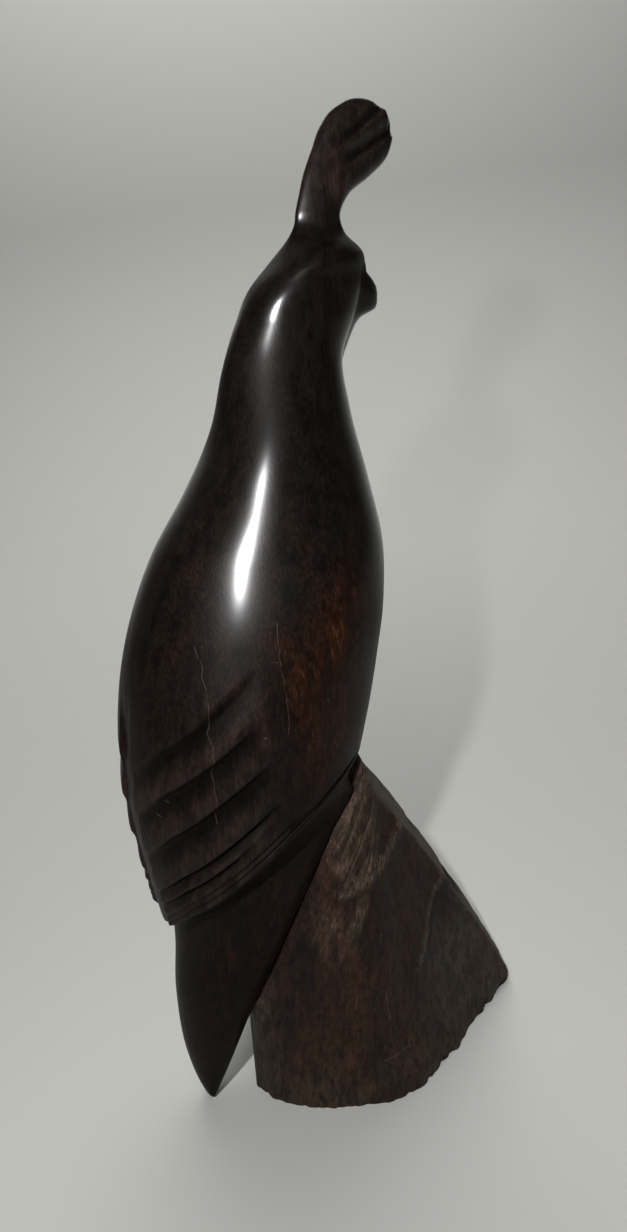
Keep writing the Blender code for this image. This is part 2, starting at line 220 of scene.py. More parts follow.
# Chips out of the block's front edges: side, height, how deep and how tall, millimetres
EDGE_CHIPS = np.array([
    [-1.0, 50.0, 3.6, 6.0],
    [-1.0, 42.0, 2.4, 4.0],
    [-1.0, 78.0, 1.0, 4.0],
    [1.0, 112.0, 1.6, 2.5],
    [1.0, 104.0, 1.3, 2.0],
    [1.0, 70.0, 1.4, 5.0],
    [1.0, 24.0, 1.8, 6.0],
])
CHIP_BAND = 5.0

# The broken foot: how high its bites reach, the share of them left towards the heel, and how far
# the toe is tucked in, as a share of a chip, and up to which height
FOOT_CHIP_HEIGHT = 4.5
CALM_FOOT = 0.35
CALM_FROM_X = 2.0
CALM_TO_X = -12.0
TOE_TUCK = 0.7
TOE_TUCK_HEIGHT = 4.5
TOE_FROM_X = 34.0
TOE_TO_X = 44.0

# Finer unevenness, as a share of the broad one, and the front face's own, millimetres
FINE_SHARE = 0.22
FRONT_UNEVENNESS = 0.25

# Hairline cracks and specks in the near side, seen from the side: x and z, metres
BODY_CRACKS = (
    ((-0.0540, 0.1755), (-0.0542, 0.1715), (-0.0556, 0.1612), (-0.0572, 0.1493), (-0.0586, 0.1340),
     (-0.0590, 0.1225)),
    ((-0.0330, 0.1790), (-0.0347, 0.1693), (-0.0354, 0.1607), (-0.0357, 0.1546), (-0.0364, 0.1480)),
    ((-0.0354, 0.1688), (-0.0372, 0.1690)),
)
BODY_SPECKS = (
    (-0.0698, 0.1294), (-0.0718, 0.1241), (-0.0291, 0.1425), (-0.0432, 0.1486), (-0.0222, 0.1530),
    (-0.0573, 0.1440),
)
BLOCK_CRACKS = (
    ((-0.0139, 0.0420), (-0.0141, 0.0378), (-0.0147, 0.0267), (-0.0146, 0.0186), (-0.0151, 0.0156)),
    ((-0.0185, 0.0160), (-0.0146, 0.0172), (-0.0075, 0.0168)),
)

# Colours of the cracks, and of the rust-red streaks in the hewn wood
BODY_CRACK_COLOUR = (0.050, 0.034, 0.026)
BLOCK_CRACK_COLOUR = (0.070, 0.054, 0.042)
RUST_COLOUR = (0.032, 0.0125, 0.0060)

# Half widths of the lines, a speck's run in x and z, and how far the lines wave, metres
BODY_CRACK_HALF_WIDTH = 0.00014
SPECK_HALF_WIDTH = 0.00032
SPECK_RUN = (0.0003, -0.0004)
BLOCK_CRACK_HALF_WIDTH = 0.00040
CRACK_WAVE = 0.0022

# Patches of colour, seen from the side: middle in x and z, reach in x and z
WARM_CHEST = (-18.0, 150.0, 22.0, 36.0)
WARM_FOOT = (-14.0, 38.0, 26.0, 42.0)
PALE_SPOT = (-26.0, 66.0, 5.0, 8.0)
PALE_SLIVER = (-18.5, 69.0, 1.6, 7.5)
SLIVER_LEAN = 0.35
SLIVER_LEAN_Z = 68.0

# Where neck and head have less wax: dulls from and to, shines again from and to, millimetres, and
# the share of the wax that is missing
NECK_DULL = (216.0, 228.0, 246.0, 256.0)
HEAD_DULL = (259.5, 266.0, 279.0, 284.0)
DULL_SHARE = 0.85

# The whole wood behind the kerf: how far it runs up, and how far into tail and block, millimetres
CORE_FROM_Z = 43.0
CORE_TO_Z = 125.5
CORE_REACH = 3.6
CORE_ROWS = 10

# Mesh fineness. Rows on the wing are closer below WING_FINE_TO; heights in millimetres.
PLACES_TRIED = 400
COLUMN_CROWDING = 0.30
TAIL_ROWS = 58
WING_FINE_STEP = 0.35
WING_FINE_TO = 18.0
WING_STEP = 0.6
END_COLUMNS = 20
BLOCK_ROW_POWER = 1.15

# Rows from the wings up to the crest: row number, and share of the way there
UPPER_ROWS = np.array([
    [0, 0.00],
    [51, 0.46],
    [108, 0.72],
    [169, 1.00],
])


def length_value(name, description, default):
    """A property that holds a length."""
    return FloatProperty(name=name, description=description, default=default, unit="LENGTH")


def power_value(name, description, default):
    """A property that holds a lamp's power."""
    return FloatProperty(name=name, description=description, default=default, unit="POWER")


def colour_value(name, description, default):
    """A property that holds a colour."""
    return FloatVectorProperty(
        name=name, description=description, default=default, subtype="COLOR", size=3)


class BirdSettings(bpy.types.PropertyGroup):
    """Sizes of the bird's carving."""

    rib_depth: length_value("Rib depth", "How far each wing rib steps down to the next", 0.0020)
    edge_incision: length_value(
        "Wing edge lines", "Depth of the lines cut beside the wing's lower edge", 0.0007)
    spine_depth: length_value("Back hollow", "Depth of the hollow between the folded wings", 0.0016)
    crest_depth: length_value("Crest steps", "Depth of the crest's two stepped grooves", 0.0011)
    beak_width: length_value("Beak width", "Width of the beak where it leaves the face", 0.0118)
    columns: IntProperty(
        name="Columns", description="Points round the bird", default=208, min=48)


class BlockSettings(bpy.types.PropertyGroup):
    """Sizes of the rough block."""

    length: length_value("Length", "Length of the block's foot in its middle plane", 0.1126)
    width: length_value("Width", "Greatest width of the block's foot", 0.0825)
    kerf_width: length_value("Kerf width", "Width of the saw kerf between tail and block", 0.0008)
    kerf_depth: length_value("Kerf depth", "How far in the saw kerf runs from each side", 0.0045)
    roughness: length_value("Unevenness", "How far the hewn faces stray from their planes", 0.0008)
    chip_depth: length_value("Chip depth", "How deep the broken foot's chips reach in", 0.0022)
    flank_columns: IntProperty(
        name="Flank columns", description="Points along each flank", default=112, min=19)
    rows: IntProperty(
        name="Rows", description="Rows of points up the block", default=92, min=18)


class WoodSettings(bpy.types.PropertyGroup):
    """Colours and gloss of the two finishes."""

    dark: colour_value("Dark wood", "Colour of the darkest polished wood", (0.0034, 0.0027, 0.0023))
    warm: colour_value(
        "Warm wood", "Colour of the reddish polished heartwood", (0.0165, 0.0048, 0.0017))
    fleck: colour_value("Flecks", "Colour of the short light fibres", (0.0700, 0.0290, 0.0110))
    hewn: colour_value("Hewn wood", "Colour of the block's rough faces", (0.0185, 0.0080, 0.0042))
    hewn_dark: colour_value(
        "Hewn hollows", "Colour of the block's darkest marks", (0.0058, 0.0022, 0.0014))
    hewn_pale: colour_value(
        "Hewn scrapes", "Colour of scraped wood on the block", (0.0480, 0.0320, 0.0215))
    # Worn ribs: the paler colour of the rib lips, partly worn wood and partly a painted highlight on
    # the raised lips. It also pales the crest.
    worn: colour_value(
        "Worn ribs", "Colour of the rubbed lips of the wing ribs", (0.0150, 0.0092, 0.0074))
    # Dull grey of the saw-cut faces. On the front face and toe it also stands for a painted reflection
    # of the pale floor.
    sawn_and_reflection: colour_value("Sawn wood", "Colour of the dull grey sawn faces", (0.0430, 0.0290, 0.0195))
    polish: FloatProperty(
        name="Polish", description="Roughness of the polished wood, lower is glossier",
        default=0.30, min=0.0, max=1.0, subtype="FACTOR")


class StageSettings(bpy.types.PropertyGroup):
    """Floor, lights and camera."""

    floor: colour_value("Floor", "Colour of the pale floor and backdrop", (0.37, 0.374, 0.350))
    key_power: power_value("Key light", "Power of the light beside the camera", 1.6)
    top_power: power_value("Top light", "Power of the soft light high behind the carving", 5.0)
    wash_power: power_value("Backdrop light", "Power of the soft light on the backdrop", 17.5)
    side_power: power_value("Side light", "Power of the soft light at the far side", 1.6)
    sky: FloatProperty(
        name="Room light", description="Strength of the even light from all round",
        default=0.03, min=0.0)
    focal: FloatProperty(
        name="Focal length", description="Focal length on a 36 mm high frame, millimetres",
        default=27.47, min=10.0)


def along(places, table):
    """Cubic curve through a table's rows, read at distances measured along its middle points."""
    middle = (table[:, 0:2] + table[:, 2:4]) / 2
    steps = np.hypot(*np.diff(middle, axis=0).T)
    knots = np.concatenate([[0.0], np.cumsum(steps)])
    slopes = np.gradient(table, knots, axis=0, edge_order=2)
    i = np.clip(np.searchsorted(knots, places, side="right") - 1, 0, len(knots) - 2)
    gap = (knots[i + 1] - knots[i])[..., None]
    t = (places - knots[i])[..., None] / gap
    start = (2 * t**3 - 3 * t**2 + 1) * table[i] + (t**3 - 2 * t**2 + t) * gap * slopes[i]
    end = (3 * t**2 - 2 * t**3) * table[i + 1] + (t**3 - t**2) * gap * slopes[i + 1]
    return start + end


def length_of(table):
    """Distance along the middle of a table's cross-sections."""
    middle = (table[:, 0:2] + table[:, 2:4]) / 2
    return np.hypot(*np.diff(middle, axis=0).T).sum()


def smooth(value, low, high):
    """0 below low, 1 above high, and 3 t squared less 2 t cubed between."""
    t = np.clip((value - low) / (high - low), 0.0, 1.0)
    return t * t * (3 - 2 * t)


def band(value, rise_from, rise_to, fall_from, fall_to):
    """1 inside a band and 0 outside it, smooth at both edges."""
    return smooth(value, rise_from, rise_to) * (1 - smooth(value, fall_from, fall_to))


def patch(x, z, spot, power=2):
    """A soft patch, 1 in its middle: exp(-((x away / reach) ^ power + (z away / reach) ^ power))."""
    middle_x, middle_z, reach_x, reach_z = spot
    return np.exp(-(((x - middle_x) / reach_x) ** power + ((z - middle_z) / reach_z) ** power))


def oval(table, places, angles):
    """A point on the loft: the section's middle, less cosine times its reach, and sine times its
    half width to the side. Angle 0 is the back, pi the front."""
    section = along(places, table)
    back = section[..., 0:2]
    front = section[..., 2:4]
    centre = (back + front) / 2
    reach = (front - back) / 2
    across = -np.cos(angles)
    x = centre[..., 0] + across * reach[..., 0]
    z = centre[..., 1] + across * reach[..., 1]
    y = section[..., 4] * np.sin(angles) * (1 - section[..., 5] * across)
    return np.stack([x, y, z], axis=-1)


def body_surface(places, angles):
    """The smooth body before it is carved: the loft through the BODY table."""
    return oval(BODY, places, angles)


def seam_x(z):
    """x of the tail's underside at a height."""
    return np.interp(z, SEAM[:, 1], SEAM[:, 0])


def tail_point(places, angles):
    """A point on the tail's loft, with x no more than the seam's, so that it is cut flat there."""
    point = oval(TAIL, places, angles)
    point[..., 0] = np.minimum(point[..., 0], seam_x(point[..., 2]))
    return point


def above_edge(point):
    """Height of a point above the wing's lower edge, a power curve of x with a dropped tip."""
    share = np.clip((point[..., 0] - EDGE_FRONT_X) / (EDGE_BACK_X - EDGE_FRONT_X), 0.0, 1.2)
    edge = EDGE_TOP_Z - EDGE_DROP * share**EDGE_POWER
    tip = TIP_DROP * np.clip(1 - np.abs(point[..., 1]) / TIP_HALF_WIDTH, 0.0, 1.0)
    return point[..., 2] - edge + tip * smooth(share, TIP_FROM_SHARE, TIP_TO_SHARE)


def places_at(surface, total, angles, levels):
    """For each column, the distances along a loft where it passes the given heights above the edge,
    read back from trial points."""
    tries = np.linspace(0.0, total, PLACES_TRIED)
    grid_places, grid_angles = np.meshgrid(tries, angles, indexing="ij")
    heights = above_edge(surface(grid_places, grid_angles))
    heights = np.maximum.accumulate(heights, axis=0)
    found = [np.interp(levels, heights[:, j], tries) for j in range(len(angles))]
    return np.array(found).T


def body_outward(places, angles):
    """Unit vectors out of the body: the cross product of small steps along and round it."""
    step = 0.05
    turn = 0.002
    along_step = body_surface(places + step, angles) - body_surface(places - step, angles)
    round_step = body_surface(places, angles + turn) - body_surface(places, angles - turn)
    out = np.cross(along_step, round_step)
    return out / np.maximum(np.linalg.norm(out, axis=-1, keepdims=True), 1e-9)


def spine_half_width(z):
    """Half the width of the hollow between the wings, which widens downwards."""
    return SPINE_HALF_WIDTH + SPINE_WIDENING * np.clip(SPINE_TOP_Z - z, 0.0, 80.0)


def rib_depth(point, depth_now, incision):
    """How deep the wing's ribs lie below the smooth body: each sinks smoothly into its groove and
    rises over a short rounded lip."""
    height = above_edge(point)
    depth = np.zeros(height.shape)
    for level, fade_x, lip_height, rise in GROOVES:
        below = smooth(height, level - rise, level)
        lip = 1 - smooth(height, level, level + lip_height)
        shape = np.where(height <= level, below, lip)
        fade = 1 - smooth(point[..., 0], fade_x - RIB_FADE, fade_x)
        deep = incision if level < EDGE_LINES_BELOW else depth_now
        depth = np.maximum(depth, deep * shape * fade / SCALE)
    aside = np.abs(point[..., 1]) - spine_half_width(point[..., 2])
    back = RIB_BACK_LEFT + (1 - RIB_BACK_LEFT) * smooth(aside, 0.0, RIB_BACK_REACH)
    return depth * back * smooth(aside, 0.5 - RIB_STOP, 0.5)


def spine_depth(point, depth_now):
    """How deep the hollow between the wings is: flat inside a short bank at each side."""
    across = smooth(1 - np.abs(point[..., 1]) / spine_half_width(point[..., 2]), 0.0, SPINE_BANK)
    rise = 1 - smooth(point[..., 2], SPINE_FULL_Z, SPINE_TOP_Z)
    behind = point[..., 0] < EDGE_FRONT_X
    return depth_now / SCALE * across * rise * behind


def from_line(x, z, line):
    """Seen from the side, how far a point has travelled along a line from its start, how far it is
    off it, and the line's length and direction: dot and cross products with the direction."""
    start_x, start_z, end_x, end_z = line
    run = np.array([end_x - start_x, end_z - start_z])
    length = np.hypot(*run)
    run = run / length
    travel = (x - start_x) * run[0] + (z - start_z) * run[1]
    off = (x - start_x) * run[1] - (z - start_z) * run[0]
    return travel, off, length, run


def crest_depth(point, depth_now):
    """How deep the crest's stepped grooves are: greatest on each groove's line, with a short lip
    on one side of it and a long slope on the other."""
    depth = np.zeros(point.shape[:-1])
    for groove in CREST_GROOVES:
        travel, off, length, _ = from_line(point[..., 0], point[..., 2], groove)
        slope = 1 - smooth(off, 0.0, CREST_SLOPE)
        lip = 1 - smooth(-off, 0.0, CREST_LIP)
        shape = np.where(off >= 0, slope, lip)
        fade = 1 - smooth(travel, length - CREST_FADE, length + 1.0)
        depth = np.maximum(depth, depth_now / SCALE * shape * fade)
    return depth


def beak_push(point, width):
    """How far the face is pushed forward into the beak: up to its profile, in a rounded band."""
    target = np.interp(point[..., 2], BEAK[:, 0], BEAK[:, 1])
    half = width / SCALE / 2
    bell = np.clip(1 - (point[..., 1] / half) ** 2, 0.0, 1.0) ** 1.5
    in_range = (point[..., 2] > BEAK[0, 0]) & (point[..., 2] < BEAK[-1, 0])
    in_front = point[..., 0] > EDGE_FRONT_X
    push = np.maximum(target - point[..., 0], 0.0) * bell
    return np.where(in_range & in_front, push, 0.0)


def body_point(places, angles, bird):
    """A point on the carved body: the smooth loft less ribs and hollow along its outward vector,
    crest grooves across, the beak forward, and the crest's rim pulled in at its notches."""
    smooth_point = body_surface(places, angles)
    out = body_outward(places, angles)
    depth = rib_depth(smooth_point, bird.rib_depth, bird.edge_incision)
    depth = depth + spine_depth(smooth_point, bird.spine_depth)
    carved = smooth_point - out * depth[..., None]
    thin = crest_depth(smooth_point, bird.crest_depth)
    side = np.sign(smooth_point[..., 1])
    room = np.abs(smooth_point[..., 1])
    carved[..., 1] -= side * np.minimum(thin, (1 - CREST_LEFT) * room)
    carved[..., 0] += beak_push(carved, bird.beak_width)
    for groove in CREST_GROOVES:
        travel, off, _, run = from_line(smooth_point[..., 0], smooth_point[..., 2], groove)
        away = np.hypot(travel, off)
        pull = NOTCH_DEPTH * (1 - smooth(away, 0.0, NOTCH_REACH))
        carved[..., 0] += pull * run[0]
        carved[..., 2] += pull * run[1]
    return carved


def bird_rows(bird):
    """Rings of points from the tail's tip to the crest's end. Rows along the wing follow its
    lower edge, as its grooves do."""
    columns = bird.columns
    t = np.linspace(0.0, 2 * np.pi, columns, endpoint=False)
    angles = t - COLUMN_CROWDING * np.sin(2 * t) / 2
    tail_top = places_at(tail_point, length_of(TAIL), angles, COVE_RIMS)
    shares = np.linspace(0.0, 1.0, TAIL_ROWS)[:, None]
    tail = tail_point(tail_top[0] * shares, np.broadcast_to(angles, (TAIL_ROWS, columns)))

    low_levels = np.arange(0.0, WING_FINE_TO, WING_FINE_STEP)
    levels = np.concatenate([low_levels, np.arange(WING_FINE_TO, WING_ZONE + 0.1, WING_STEP)])
    wing_places = places_at(body_surface, length_of(BODY), angles, levels)
    wing = body_point(wing_places, np.broadcast_to(angles, wing_places.shape), bird)

    rim_outer = wing[0]
    rim_inner = tail_point(tail_top[1], angles)
    cove = rim_inner + (rim_outer - rim_inner) * COVE_ROWS[:, None, None]

    total = length_of(BODY)
    start = wing_places[-1]
    shares = np.interp(np.arange(UPPER_ROWS[-1, 0]) + 1, UPPER_ROWS[:, 0], UPPER_ROWS[:, 1])[:, None]
    upper_places = start + (total - start) * shares
    upper = body_point(upper_places, np.broadcast_to(angles, upper_places.shape), bird)
    return np.concatenate([tail, cove, wing[1:], upper]) * SCALE


def wobble(x, y, z):
    """Smooth unevenness between -1 and 1, from a few waves of unlike length."""
    first = np.sin(0.21 * x + 0.13 * y + 0.05 * z + 0.7) * np.sin(0.11 * y - 0.08 * z + 1.9)
    second = np.sin(0.47 * x - 0.39 * y + 0.9) * 0.5
    third = np.sin(0.83 * y + 0.61 * x + 0.12 * z + 2.3) * 0.4
    return (first + second + third) / 1.9


def corner_half_width(z):
    """Half the width of the tail where its side turns into the flat underside, at a height."""
    places = np.linspace(0.0, length_of(TAIL), PLACES_TRIED)
    angles = np.linspace(0.0, np.pi, PLACES_TRIED)
    grid = tail_point(*np.meshgrid(places, angles, indexing="ij")).reshape(-1, 3)
    flat = grid[grid[:, 0] > seam_x(grid[:, 2]) - 0.01]
    spacing = 4.0
    levels = np.arange(spacing, SEAM[4, 1], spacing)
    widths = [flat[np.abs(flat[:, 2] - level) < spacing / 2, 1].max() for level in levels]
    return np.interp(z, levels, widths)


def joint_half_width(z):
    """Half the width of the block's rear face along the tail, narrowing into the belly."""
    corner = corner_half_width(z)
    return corner + (RIDGE_HALF_WIDTH - corner) * smooth(z, SEAM[3, 1], RIDGE_Z)


def front_line(z, block):
    """x of the block's front in its middle plane, and how fast that grows with y, at drawn
    heights: a power curve of the height, turned towards the right side except at the ridge."""
    taper = 1 - z / RIDGE_Z
    x = RIDGE_FRONT_X + ((HEEL_X + block.length) / SCALE - RIDGE_FRONT_X) * taper**FRONT_BOW
    return x, FRONT_TURN * (1 - smooth(z, FRONT_TURN_TO_Z, RIDGE_Z))


def tool_marks(x, y, z):
    """How far the flank stands out: along each mark's line a crest that falls away smoothly,
    quickly on one side and slowly on the other, and that fades past the line's two ends."""
    raised = np.zeros(x.shape)
    for side, *line, height, above, below in TOOL_MARKS:
        travel, off, length, _ = from_line(x, z, line)
        rise = np.where(off > 0, 1 - smooth(off, 0.0, above), 1 - smooth(-off, 0.0, below))
        past = np.maximum(-travel, travel - length)
        fade = 1 - smooth(past, 0.0, MARK_FADE)
        raised = np.maximum(raised, height * rise * fade * (y * side > 0))
    return raised


def ragged(travel):
    """Uneven bites between 0 and about 1 along an edge: three waves of unlike length, whose pace
    itself varies, squared."""
    pace = travel + 2.1 * np.sin(0.23 * travel + 0.4)
    waves = np.sin(0.71 * pace) + 0.7 * np.sin(1.63 * pace + 0.8) + 0.4 * np.sin(2.9 * travel)
    return np.clip(0.42 + 0.33 * waves, 0.0, 1.2) ** 2


def block_rows(block):
    """Rings of points of the block, from its underside to the ridge under the belly. Each flank is
    a sine bulge from heel to toe with tool marks on it, and planes cut the heel and the front."""
    rows = block.rows
    shares = np.linspace(0.0, 1.0, rows)[:, None] ** BLOCK_ROW_POWER
    z = shares * RIDGE_Z
    taper = 1 - shares
    front, turn = front_line(z, block)
    rear = np.maximum(seam_x(z) + block.kerf_width / SCALE, HEEL_X / SCALE + HEEL_LEAN * z)
    joint_z = SEAM[1, 1]
    heel_half = HEEL_HALF_WIDTH / SCALE
    toe_half = TOE_HALF_WIDTH / SCALE
    heel = heel_half + (corner_half_width(joint_z) - heel_half) * z / joint_z
    rear_half = np.where(z < joint_z, heel, joint_half_width(z))
    front_half = toe_half + (RIDGE_HALF_WIDTH - toe_half) * shares

    t = np.linspace(0.0, np.pi, block.flank_columns)[None, :]
    flat = 1 - FLANK_FLAT * smooth(t, FLANK_FLAT_FROM, FLANK_FLAT_TO)
    widest = (np.sin(t) * flat).max()
    bulge = (block.width / SCALE / 2 - (heel_half + toe_half) / 2) / widest * taper**FLANK_BOW
    flank_x = rear + (front - rear) * (1 - np.cos(t)) / 2
    flank_y = rear_half * (1 + np.cos(t)) / 2 + front_half * (1 - np.cos(t)) / 2
    tuck = FOOT_TUCK + HEEL_TUCK * smooth(z, 0.0, joint_z)
    flank_y = flank_y + bulge * np.clip(np.sin(t), 0.0, 1.0) ** tuck * flat
    across = np.linspace(1.0, -1.0, END_COLUMNS + 2)[None, 1:-1]
    toe_x = np.broadcast_to(front, (rows, END_COLUMNS))
    heel_x = np.broadcast_to(rear, (rows, END_COLUMNS))
    x = np.concatenate([flank_x, toe_x, flank_x[:, ::-1], heel_x], axis=1)
    y = np.concatenate([flank_y, front_half * across, -flank_y[:, ::-1], -rear_half * across], axis=1)
    z = np.broadcast_to(z, x.shape)
    rough = block.roughness / SCALE * wobble(x, y, z)
    rough = rough + block.roughness / SCALE * FINE_SHARE * wobble(4.1 * z, 3.3 * x, 2.7 * y)
    rough = rough + tool_marks(x, y, z) - 0.5 * TOOL_MARKS[:, 5].mean()
    calm = CALM_FOOT + (1 - CALM_FOOT) * smooth(x, CALM_TO_X, CALM_FROM_X)
    bites = calm * ragged(0.8 * x - 0.9 * y) * (1 - smooth(z, 0.5, FOOT_CHIP_HEIGHT))
    bites = bites + TOE_TUCK * smooth(x, TOE_FROM_X, TOE_TO_X) * (1 - smooth(z, 0.0, TOE_TUCK_HEIGHT))
    rough = rough - block.chip_depth / SCALE * bites
    middle = (front + rear) / 2
    reach = np.hypot(x - middle, y)
    x = x + rough * (x - middle) / reach
    y = y + rough * y / reach
    skew = HEEL_SKEW * (1 - smooth(z, HEEL_SKEW_FROM_Z, HEEL_SKEW_TO_Z))
    x = np.maximum(x, rear + skew * (y + rear_half))
    face = front + turn * y + FRONT_UNEVENNESS * wobble(3.1 * y, 2.6 * z, 1.7 * y)
    face = face - block.chip_depth / SCALE * bites
    beyond = np.maximum(x - face, 0.0)
    for side, height, depth, tall in EDGE_CHIPS:
        near_edge = np.clip(1 - np.abs(beyond - 1.0) / CHIP_BAND, 0.0, 1.0) * (y * side > 0)
        face = face - depth * near_edge * np.clip(1 - ((z - height) / tall) ** 2, 0.0, 1.0)
    x = np.minimum(x, face)
    return np.stack([x, y, z], axis=-1) * SCALE


def core_rows(block):
    """Rings of the wood that still joins tail and block behind the saw kerf: a slanted bar."""
    heights = np.linspace(CORE_FROM_Z, CORE_TO_Z, CORE_ROWS)[:, None]
    half = joint_half_width(heights) - block.kerf_depth / SCALE
    x = seam_x(heights) + CORE_REACH * np.array([[1, -1, -1, 1]])
    y = half * np.array([[1, 1, -1, -1]])
    return np.stack([x, y, np.broadcast_to(heights, x.shape)], axis=-1) * SCALE


def closed_mesh(name, rows, slot):
    """A closed skin over rings of points: a quad between neighbours, a fan over each end, and the
    given material slot on every face."""
    count, around = rows.shape[:2]
    points = rows.reshape(-1, 3)
    ends = np.stack([points[:around].mean(axis=0), points[-around:].mean(axis=0)])
    column = np.arange(around)
    after = (column + 1) % around
    a = (np.arange(count - 1)[:, None] * around + column).ravel()
    b = (np.arange(count - 1)[:, None] * around + after).ravel()
    quads = np.stack([a, b, b + around, a + around], axis=1)
    last = (count - 1) * around
    low_fan = np.stack([np.full(around, count * around), after, column], axis=1)
    high_fan = np.stack([np.full(around, count * around + 1), last + column, last + after], axis=1)
    mesh = bpy.data.meshes.new(name)
    vertices = np.concatenate([points, ends]).tolist()
    mesh.from_pydata(vertices, [], quads.tolist() + low_fan.tolist() + high_fan.tolist())
    mesh.polygons.foreach_set("material_index", np.full(len(mesh.polygons), slot, dtype=np.int32))
    shape = bmesh.new()
    shape.from_mesh(mesh)
    bmesh.ops.recalc_face_normals(shape, faces=shape.faces)
    shape.to_mesh(mesh)
    shape.free()
    return mesh


def new_object(name, mesh):
    """A new object in the scene, at the origin."""
    shape = bpy.data.objects.new(name, mesh)
    bpy.context.scene.collection.objects.link(shape)
    return shape


def united(shape, others):
    """The union of closed shapes as one new mesh. The others are taken away."""
    for other in others:
        union = shape.modifiers.new("grow", "BOOLEAN")
        union.operation = "UNION"
        union.solver = "EXACT"
        union.object = other
    bpy.context.view_layer.update()
    graph = bpy.context.evaluated_depsgraph_get()
    mesh = bpy.data.meshes.new_from_object(shape.evaluated_get(graph))
    for used in [shape] + others:
        bpy.data.objects.remove(used, do_unlink=True)
    return mesh


class NodeTree:
    """Short calls for making and linking shader nodes in one tree."""

    def __init__(self, tree):
        self.tree = tree
        self.nodes = tree.nodes

    def add(self, kind, **values):
        """A new node. A value names a property, or an input with its spaces as underscores."""
        node = self.nodes.new(kind)
        for name, value in values.items():
            if hasattr(node, name):
                setattr(node, name, value)
            else:
                self.put(node.inputs[name.replace("_", " ")], value)
        return node

    def put(self, socket, value):
        """Links a socket into an input, or sets the input's value."""
        if isinstance(value, bpy.types.NodeSocket):
            self.tree.links.new(value, socket)
        else:
            socket.default_value = value

    def math(self, operation, first, second=0.0, third=0.0, clamp=False):
        """A Math node's output."""
        node = self.nodes.new("ShaderNodeMath")
        node.operation = operation
        node.use_clamp = clamp
        for socket, value in zip(node.inputs, (first, second, third)):
            self.put(socket, value)
        return node.outputs[0]

    def times(self, first, second):
        """The product of two values."""
        return self.math("MULTIPLY", first, second)

    def attribute(self, name):
        """A value stored on the mesh."""
        return self.add("ShaderNodeAttribute", attribute_name=name).outputs["Fac"]

    def mix(self, share, first, second):
        """A colour between two colours."""
        node = self.nodes.new("ShaderNodeMix")
        node.data_type = "RGBA"
        self.put(node.inputs["Factor"], share)
        self.put(node.inputs["A"], first)
        self.put(node.inputs["B"], second)
        return node.outputs["Result"]

    def ramp(self, value, low, high, start=0.0, end=1.0):
        """A value carried smoothly from one range to another."""
        node = self.nodes.new("ShaderNodeMapRange")
        node.interpolation_type = "SMOOTHSTEP"
        self.put(node.inputs["Value"], value)
        for name, number in (("From Min", low), ("From Max", high), ("To Min", start), ("To Max", end)):
            self.put(node.inputs[name], number)
        return node.outputs["Result"]

    def stretched(self, vector, scale, turn=(0.0, 0.0, 0.0), shift=(0.0, 0.0, 0.0)):
        """A vector moved, turned back, then scaled by its own amount on each axis."""
        node = self.nodes.new("ShaderNodeMapping")
        node.vector_type = "TEXTURE"
        self.put(node.inputs["Vector"], vector)
        node.inputs["Location"].default_value = shift
        node.inputs["Rotation"].default_value = turn
        node.inputs["Scale"].default_value = [1.0 / value for value in scale]
        return node.outputs["Vector"]

    def vector(self, operation, first, second=None):
        """A Vector Math node."""
        node = self.nodes.new("ShaderNodeVectorMath")
        node.operation = operation
        self.put(node.inputs[0], first)
        if second is not None:
            self.put(node.inputs[1], second)
        return node

    def scaled(self, vector, amount):
        """A vector or colour times a number."""
        node = self.vector("SCALE", vector)
        self.put(node.inputs["Scale"], amount)
        return node.outputs["Vector"]

    def noise(self, vector, detail=2.0, rough=0.5, distortion=0.0):
        """A noise value at a vector."""
        node = self.nodes.new("ShaderNodeTexNoise")
        self.put(node.inputs["Vector"], vector)
        node.inputs["Scale"].default_value = 1.0
        node.inputs["Detail"].default_value = detail
        node.inputs["Roughness"].default_value = rough
        node.inputs["Distortion"].default_value = distortion
        return node.outputs["Fac"]


def colour(value):
    """A property's colour with full opacity."""
    return (*value, 1.0)


def new_material(name):
    """A material, the short calls for its tree, and its shader."""
    material = bpy.data.materials.new(name)
    material.use_nodes = True
    t = NodeTree(material.node_tree)
    return material, t, t.nodes["Principled BSDF"]


def grain_group():
    """Fibres that run up the wood: fine fibres, broader streaks, large patches and short flecks.
    Each is noise on coordinates that are squeezed along Z."""
    group = bpy.data.node_groups.new("upright grain", "ShaderNodeTree")
    group.interface.new_socket("Vector", in_out="INPUT", socket_type="NodeSocketVector")
    for name in ("Fibres", "Streaks", "Patches", "Flecks"):
        group.interface.new_socket(name, in_out="OUTPUT", socket_type="NodeSocketFloat")
    t = NodeTree(group)
    place = t.add("NodeGroupInput").outputs["Vector"]
    out = t.add("NodeGroupOutput")
    fibres = t.noise(t.stretched(place, (2100.0, 2100.0, 130.0)), 3.0, 0.6)
    streaks = t.noise(t.stretched(place, (330.0, 330.0, 24.0), turn=(0.05, 0.07, 0.0)), 3.0, 0.55, 0.4)
    patches = t.noise(t.stretched(place, (40.0, 40.0, 13.0), shift=(3.1, 0.4, 1.7)), 2.0, 0.5, 0.3)
    flecks = t.noise(t.stretched(place, (1500.0, 1500.0, 300.0), shift=(7.0, 2.0, 5.0)), 2.0, 0.6)
    t.put(out.inputs["Fibres"], fibres)
    t.put(out.inputs["Streaks"], streaks)
    t.put(out.inputs["Patches"], patches)
    t.put(out.inputs["Flecks"], flecks)
    return group


